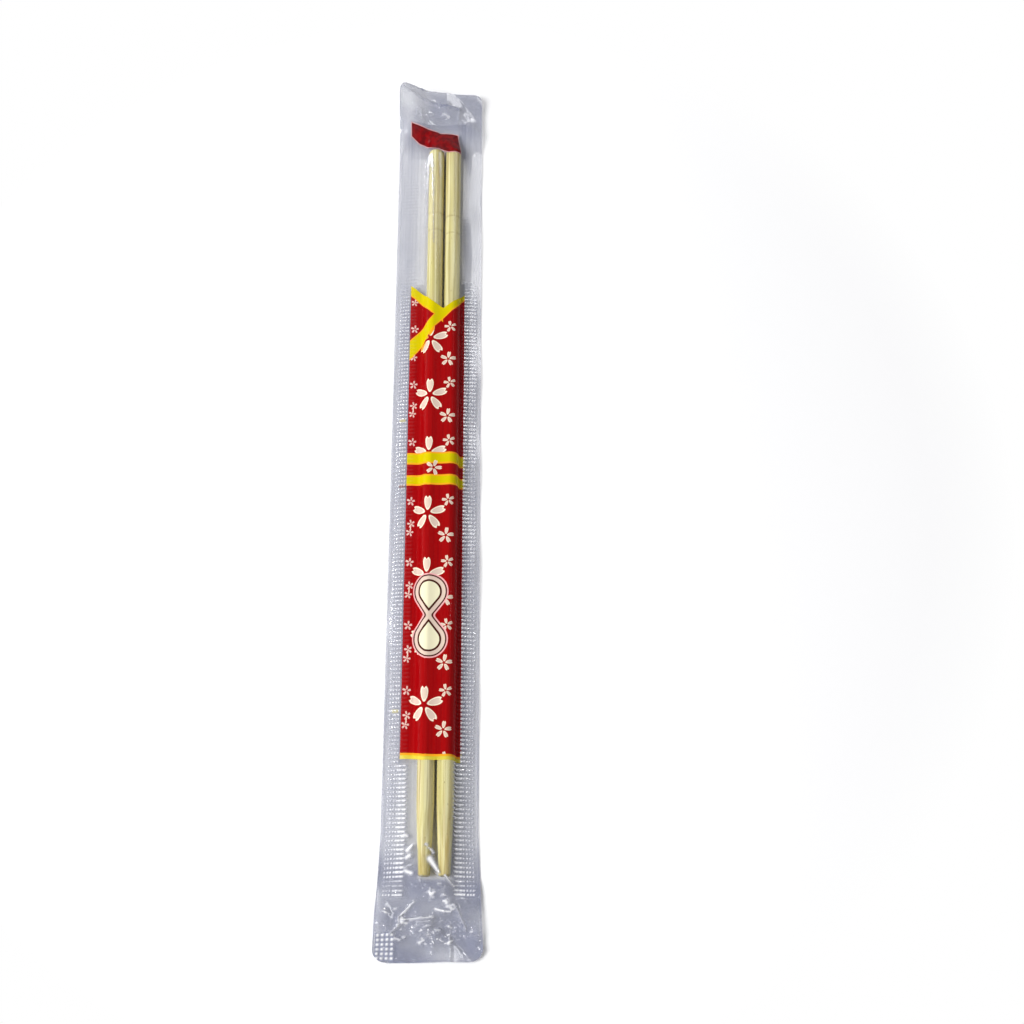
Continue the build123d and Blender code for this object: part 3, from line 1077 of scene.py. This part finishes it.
def knurl(x, y):
    """The dots that join the webs, as height, whiteness and hazing: the whiteness is film whitened by the
    pressing and also a painted glint on each dot, and the corner patch's hazing is painted shade round its
    dots.
    """
    strength = dot_strength(x, y)
    side = strength * side_dots(x, y)
    end = end_dots(x, y)
    patch, corner = corner_dots(x, y)
    height = np.where(patch, CORNER_DOT_HEIGHT * corner, DOT_HEIGHT * side + END_DOT_HEIGHT * end)
    # The dots' whiteness: film whitened by the pressing, also painting their glints
    white = np.where(patch, CORNER_WELD_GLINT_SHARE * corner, np.maximum(side, END_WELD_GLINT_SHARE * end))
    from_edge = EDGE_X - np.abs(x)
    band = strength * ((from_edge > DOT_BAND[0]) & (from_edge < DOT_BAND[1]))
    # The corner patch is made hazier as painted shade round its dots
    return height, np.clip(WELD_GLINT_SPREAD * white, 0, 1), PATCH_SHADE * patch + DOT_BAND_HAZE * band


def creased(x, y):
    """The sharp creases of the film, as height and glint level: a painted glint, partly whitened film, above
    zero, and hazier film below zero.
    """
    height = 0.0
    tone = 0.0
    ragged = np.clip(1 + RAGGED_SHARE * ripple(x, y, RAGGED_WAVES), 1 - RAGGED_SHARE, None)
    for crease in CREASES:
        start = np.array(crease.start) / MILLIMETRES
        run = np.array(crease.end) / MILLIMETRES - start
        share = np.clip(((x - start[0]) * run[0] + (y - start[1]) * run[1]) / (run @ run), 0, 1)
        away = np.hypot(x - start[0] - share * run[0], y - start[1] - share * run[1]) * MILLIMETRES
        away = away / (crease.width + share * (crease.end_width - crease.width))
        height = height + crease.height / MILLIMETRES * np.exp(-away)
        edge = away if crease.tone >= FULL_GLINT else away * ragged
        # Painted glints along the creases above zero; hazier film below zero
        tone = tone + crease.tone * np.exp(-((edge / WHITE_SPREAD_SHARE) ** 2))
    return height, tone


def wrinkles(x, y, drawn):
    """The waves and crumples that both webs share: gentle along the seals, stronger in the tails."""
    seal = eased(np.abs(x), RIGHT_FOOT_X, SEAL_WIDTH)
    seal_waves = SEAL_WAVE_HEIGHT * (1 + ripple(x, y, SEAL_WAVES)) * np.minimum(seal * SEAL_WAVE_GROWTH, 1)
    waves = TAIL_WAVE_HEIGHT * (1 + ripple(x, y, TAIL_WAVES))
    folded = TAIL_FOLD_HEIGHT * (1 + folds(x, y, TAIL_FOLDS))
    dimples = TAIL_DIMPLE_HEIGHT * crumpled(x, y) * (1 + ripple(x, y, TAIL_DIMPLES))
    return drawn * seal_waves + (1 - drawn) * (waves + folded + dimples)


def crumpled(x, y):
    """How crumpled the tails are, in patches, less past the thick ends than past the tips."""
    return np.clip(ripple(x, y, CRUMPLES), 0, 1) * np.where(y > 0, UPPER_CRUMPLE_SHARE, 1.0)


def slack_waves(x, y):
    """The waves of the front web on its slack run left of the sticks."""
    share = np.zeros(x.shape[1])
    share[SEAL_COLUMNS:SEAL_COLUMNS + RUN_COLUMNS + 1] = np.sin(np.linspace(0, pi, RUN_COLUMNS + 1))
    return share[None, :] * RUN_WAVE_HEIGHT * (1 + ripple(x, y, RUN_WAVES, RUN_WAVE_STRETCH))


def film_rows():
    """The rows of a web along the sleeve, closer together in the tails."""
    rows = [
        stepped(LOWER_END_Y, TIP_Y, TAIL_ROW_STEP),
        stepped(TIP_Y, BUTT_Y, ROW_STEP),
        stepped(BUTT_Y, UPPER_END_Y, TAIL_ROW_STEP),
        [UPPER_END_Y],
    ]
    return np.concatenate(rows)[:, None]


def flattened(x, z, drawn):
    """Where a web's columns lie in the flat tails, and its flat width in millimetres from the left crown."""
    shank = len(x) // 2
    width = np.concatenate([[0], np.cumsum(np.hypot(np.diff(x[shank]), np.diff(z[shank])))])
    left, right = width[SEAL_COLUMNS], width[LAST_COLUMN]
    panel = eased(np.arange(len(width)), SEAL_COLUMNS, LAST_COLUMN - SEAL_COLUMNS)
    sealed = np.abs(x[shank]) >= RIGHT_FOOT_X
    flat_x = np.where(sealed, x[shank], LEFT_FOOT_X + panel * 2 * RIGHT_FOOT_X)[None, :]
    flat_width = np.where(sealed, width, left + panel * (right - left))
    across = drawn * width + (1 - drawn) * flat_width - width[CROWN_COLUMN]
    return flat_x, across * MILLIMETRES


def from_end(y):
    """The distance to the nearer end of the sleeve."""
    return np.minimum(y - LOWER_END_Y, UPPER_END_Y - y)


def with_round_corners(x, y):
    """The columns drawn in where the sleeve's corners are rounded."""
    corner = np.where(y < 0, LOWER_CORNER_RADIUS, UPPER_CORNER_RADIUS)
    inset = corner - np.sqrt(corner**2 - np.clip(corner - from_end(y), 0, None) ** 2)
    return x - np.sign(x) * inset * eased(np.abs(x), RIGHT_FOOT_X, SEAL_WIDTH)


def flared(x, y):
    """The columns spread where the tail past the tips flares."""
    flare_y = TIP_Y + FLARE_START
    return x * (1 + TAIL_FLARE / EDGE_X * eased(y, flare_y, LOWER_END_Y - flare_y))


def hazed(x, y, flat_x):
    """How hazy the film is, with painted light and shade over the tails' facets, and how much of it is clear
    margin: neither a tail nor drawn over a stick.
    """
    radius = stick_radius(np.maximum(y, TIP_Y))
    over_sticks = (x > LEFT_AXIS_X - radius) & (x < RIGHT_AXIS_X + radius)
    between = (x > LEFT_AXIS_X + radius) & (x < RIGHT_AXIS_X - radius) & (y > TIP_Y) & (y < BUTT_Y)
    lower_start = TIP_Y + np.where(over_sticks, 0, MARGIN_LEAD)
    lower = eased(y, lower_start, -np.where(over_sticks, LOWER_FADE, MARGIN_FADE))
    upper = eased(y, BUTT_Y, UPPER_FADE)
    margin = (1 - lower - upper) * ~over_sticks
    border = np.minimum(from_end(y), EDGE_X - np.abs(flat_x)) < BORDER_WIDTH
    # Painted light and shade over the tails' facets
    facets = 1 + FACET_SHADE_SHARE * folds(x, y, FACETS)
    tails = facets * (LOWER_HAZE * lower + UPPER_HAZE * upper)
    return tails + MARGIN_HAZE * margin + BORDER_HAZE * border - GAP_CLEARING * between, margin


def printed_faces(across, down):
    """Which faces of a web carry print: those of the robe and of the strip over the thick ends."""
    across = (across[:-1, :-1] + across[1:, 1:]) / 2
    down = (down[:-1] + down[1:]) / 2
    robe = (across > FIELD_LEFT - FIELD_MARGIN) & (down > PRINTED_FROM) & (down < FIELD_HEM)
    strip = (across > STRIP_LEFT - STRIP_RIM) & (down > STRIP_FROM) & (down < STRIP_TO)
    return (robe | strip) & (across < FIELD_RIGHT)


def film_web(name, way, lay_print, lay_clear):
    """One web of the sleeve: drawn round the sticks, sealed to the other one and flat in the tails."""
    y = film_rows()
    drawn = drawn_share(y)
    x, z = drawn_web(y, way)
    flat_x, across = flattened(x, z, drawn)
    least_z = SEALED_GAP if way == OVER else 0
    if way == OVER:
        run = slice(SEAL_COLUMNS + 1, SEAL_COLUMNS + RUN_COLUMNS + 1)
        z[:, run] = draped(x[:, run], y)
    x = with_round_corners(drawn * x + (1 - drawn) * flat_x, y)
    z = drawn * z + (1 - drawn) * least_z
    dots, weld_glints, dot_haze_and_shade = knurl(x, y)
    x = flared(x, y)
    creases, tone = creased(x, y)
    if way == OVER:
        z = z + drawn * slack_waves(x, y)
    z = z + lift(x, y) + wrinkles(x, y, drawn) + dots + creases
    mesh = grid_mesh(name, np.stack([x, np.broadcast_to(y, x.shape), np.maximum(z, least_z)], axis=-1))
    down = (BUTT_Y - y) * MILLIMETRES
    film_uv(mesh, np.stack(np.broadcast_arrays(across, down), axis=-1).reshape(-1, 2))
    haze_and_shade, margin = hazed(x, y, flat_x)
    keep(mesh, "crumple", crumpled(x, y) * (1 - drawn))
    keep(mesh, "margin", margin)
    # Whiteness: the dots' whitening, which also paints their glints, and the painted glints along the creases
    keep(mesh, "weld_glint", np.maximum(weld_glints, np.clip(tone, 0, 1)))
    # Hazing, with the painted light and shade of the tails' facets and the painted shade round the corner
    # dots
    keep(mesh, "haze_and_shade", haze_and_shade + dot_haze_and_shade + np.clip(-tone, 0, 1))
    mesh.materials.append(film(f"{name}_clear", lay_clear, CLEAR_INDEX, CLEAR_WELD_GLINT))
    mesh.materials.append(film(f"{name}_printed", lay_print, PRINTED_INDEX, PRINTED_WELD_GLINT))
    mesh.polygons.foreach_set("material_index", printed_faces(across, down).astype(np.int32).ravel())
    return stand_in(name, mesh, "film_sleeve")


def stepped(start, end, step):
    """Even places from start up to end, about a step apart, without the end itself."""
    return np.linspace(start, end, round((end - start) / step), endpoint=False)


def keep(mesh, name, values):
    """Keeps a number with each of the mesh's points."""
    layer = mesh.attributes.new(name, "FLOAT", "POINT")
    layer.data.foreach_set("value", values.astype(np.float32).ravel())


def film_uv(mesh, coordinates):
    """Writes each point's film coordinates to the mesh as a UV map."""
    layer = mesh.uv_layers.new(name="film")
    corners = np.empty(len(mesh.loops), dtype=np.int32)
    mesh.loops.foreach_get("vertex_index", corners)
    layer.data.foreach_set("uv", coordinates[corners].astype(np.float32).ravel())


# Studio


def seen(tree):
    """1 where the eye looks, also by way of a gloss or through something clear, and 0 for other light."""
    path = tree.nodes.new("ShaderNodeLightPath")
    rays = ("Is Camera Ray", "Is Glossy Ray", "Is Transmission Ray")
    eye, gloss, through = (Field(tree, path.outputs[ray]) for ray in rays)
    return eye.most(gloss).most(through)


def white_floor():
    """White that keeps the shadow near the object and is plain white further away."""
    material, tree, shader = new_material("white_floor")
    shader.inputs["Base Color"].default_value = FLOOR_COLOUR
    shader.inputs["Roughness"].default_value = FLOOR_ROUGHNESS
    away = tree.nodes.new("ShaderNodeVectorMath")
    away.operation = "LENGTH"
    tree.links.new(tree.nodes.new("ShaderNodeTexCoord").outputs["Object"], away.inputs[0])
    share = ranged(Field(tree, away.outputs["Value"]), SHADOW_REACH, WHITE_REACH, 0.0, 1.0)
    white = tree.nodes.new("ShaderNodeEmission")
    mix = tree.nodes.new("ShaderNodeMixShader")
    plug(tree, mix.inputs[0], seen(tree) * share)
    tree.links.new(shader.outputs[0], mix.inputs[1])
    tree.links.new(white.outputs[0], mix.inputs[2])
    tree.links.new(mix.outputs[0], tree.nodes["Material Output"].inputs["Surface"])
    return material


def floor():
    """A plain floor, just under the object."""
    mesh = bpy.data.meshes.new("floor")
    sides = ((-1, -1), (1, -1), (1, 1), (-1, 1))
    corners = [(x * FLOOR_HALF, y * FLOOR_HALF, -FLOOR_DROP) for x, y in sides]
    mesh.from_pydata(corners, [], [(0, 1, 2, 3)])
    mesh.materials.append(white_floor())
    piece = bpy.data.objects.new("floor", mesh)
    bpy.context.scene.collection.objects.link(piece)


def lamp(name, place, aim, size, watts, mirrored=True):
    """A rectangular soft lamp that faces a point; the film mirrors it unless told not to."""
    light = bpy.data.lights.new(name, "AREA")
    light.shape = "RECTANGLE"
    light.size, light.size_y = size
    light.energy = watts
    piece = bpy.data.objects.new(name, light)
    bpy.context.scene.collection.objects.link(piece)
    piece.location = place
    piece.rotation_euler = (Vector(aim) - Vector(place)).to_track_quat("-Z", "Y").to_euler()
    piece.visible_glossy = mirrored


def spark_lamps():
    """Small lamps that the film mirrors to the eye where its creases tilt it."""
    tips = Vector((0, TIP_Y, 0))
    to_camera = Vector((0, -cos(VIEW_ELEVATION), sin(VIEW_ELEVATION)))
    tilted = Vector((sin(SPARK_TILT), 0, cos(SPARK_TILT)))
    for turn in range(SPARK_LAMPS):
        facing = Matrix.Rotation(tau * turn / SPARK_LAMPS, 3, "Z") @ tilted
        mirrored = 2 * facing.dot(to_camera) * facing - to_camera
        place = tips + SPARK_DISTANCE * mirrored
        lamp(f"spark_{turn}", place, tips, (SPARK_SIZE, SPARK_SIZE), SPARK_WATTS)


def studio():
    """Soft light from the left, narrower lamps for the film's glints, and an even grey world."""
    for one in LAMPS:
        lamp(*one)
    spark_lamps()
    world = bpy.data.worlds.new("studio")
    world.use_nodes = True
    tree = world.node_tree
    backdrop = mixed(tree, seen(tree), WORLD_GREY, WHITE, "RGBA")
    plug(tree, tree.nodes["Background"].inputs["Color"], backdrop)
    bpy.context.scene.world = world


def camera():
    """The photograph's view."""
    forward = Vector((0, cos(VIEW_ELEVATION), -sin(VIEW_ELEVATION)))
    right = Matrix.Rotation(-VIEW_ROLL, 3, forward) @ Vector((1, 0, 0))
    up = right.cross(forward)
    data = bpy.data.cameras.new("camera")
    data.lens = LENS
    data.clip_start = CLIP_START
    piece = bpy.data.objects.new("camera", data)
    bpy.context.scene.collection.objects.link(piece)
    turn = Matrix((right, up, -forward)).transposed().to_4x4()
    piece.matrix_world = Matrix.Translation(VIEW_TARGET - VIEW_DISTANCE * forward) @ turn
    bpy.context.scene.camera = piece


chopstick("chopstick_left", LEFT_AXIS_X)
chopstick("chopstick_right", RIGHT_AXIS_X)
film_web("film_front", OVER, lay_front, lay_marks)
film_web("film_back", UNDER, lay_back, lay_nothing)
floor()
studio()
camera()
bpy.context.scene.view_settings.view_transform = "Standard"
